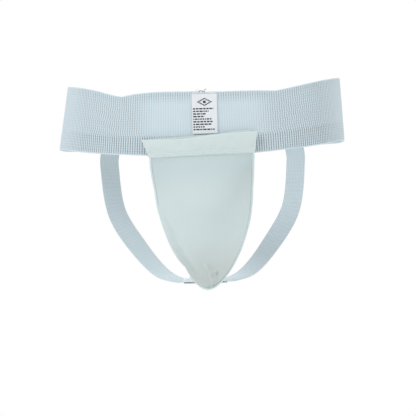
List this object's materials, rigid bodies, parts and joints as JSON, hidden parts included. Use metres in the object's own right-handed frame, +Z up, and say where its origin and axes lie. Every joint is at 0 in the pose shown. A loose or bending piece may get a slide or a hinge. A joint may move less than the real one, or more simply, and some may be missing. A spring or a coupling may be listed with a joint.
{
  "type": "groin protector",
  "caption": "Groin protector: wide elastic waistband, cloth pouch that holds a removable vented hard cup, and elastic leg straps.",
  "frame": {"origin": "middle of the waist opening, level with the waistband's mid-height at the centre front", "axes": "+Z up, -Y the wearer's front, +X the wearer's left, as worn by a standing person"},
  "size_m": [0.3422, 0.2551, 0.2433],
  "materials": {
    "ribbed_elastic": "ribbed woven elastic, matt",
    "pouch_knit": "fine smooth knit, matt",
    "lining_knit": "fine knit, matt",
    "hem_cloth": "folded knit, matt",
    "binding_tape": "narrow folded tape, slight sheen",
    "white_thread": "polyester sewing thread",
    "label_satin": "satin ribbon",
    "strap_elastic": "woven elastic, matt",
    "tab_webbing": "plain woven tape, matt",
    "cup_plastic": "moulded polypropylene, satin",
    "soft_rim": "soft moulded rim, matt"
  },
  "bodies": {
    "garment": {"waistband": "ribbed_elastic", "waistband_join_stitching": "white_thread", "label_stitch_bar": "white_thread", "pouch_front_panel": "pouch_knit", "pouch_lining": "lining_knit", "pouch_top_hem": "hem_cloth", "hem_stitch_lower": "white_thread", "hem_stitch_upper": "white_thread", "hem_corner_tack_left": "white_thread", "hem_corner_tack_right": "white_thread", "lining_seam_stitching": "white_thread", "pouch_binding_left": "binding_tape", "pouch_binding_right": "binding_tape", "binding_stitch_left": "white_thread", "binding_stitch_right": "white_thread", "crotch_tab": "tab_webbing", "crotch_tab_stitching": "white_thread", "leg_strap_left": "strap_elastic", "leg_strap_right": "strap_elastic", "strap_front_tack_left": "white_thread", "strap_front_tack_right": "white_thread", "strap_rear_tack_left": "white_thread", "strap_rear_tack_right": "white_thread"},
    "cup": {"cup_shell": "cup_plastic", "cup_gasket": "soft_rim"},
    "label_leaf": {"label": "label_satin"}
  },
  "joints": [
    {"name": "cup_lift", "type": "slide", "parent": "garment", "child": "cup", "axis": [0, -0.2924, 0.9563], "range_m": [0, 0.165], "deforming": ["pouch_front_panel", "pouch_top_hem", "hem_stitch_lower", "hem_stitch_upper"]},
    {"name": "label_flip", "type": "hinge", "parent": "garment", "child": "label_leaf", "pos_m": [0.005, -0.11225, 0.0347], "axis": [-1, 0, 0], "range_deg": [0, 160]}
  ]
}
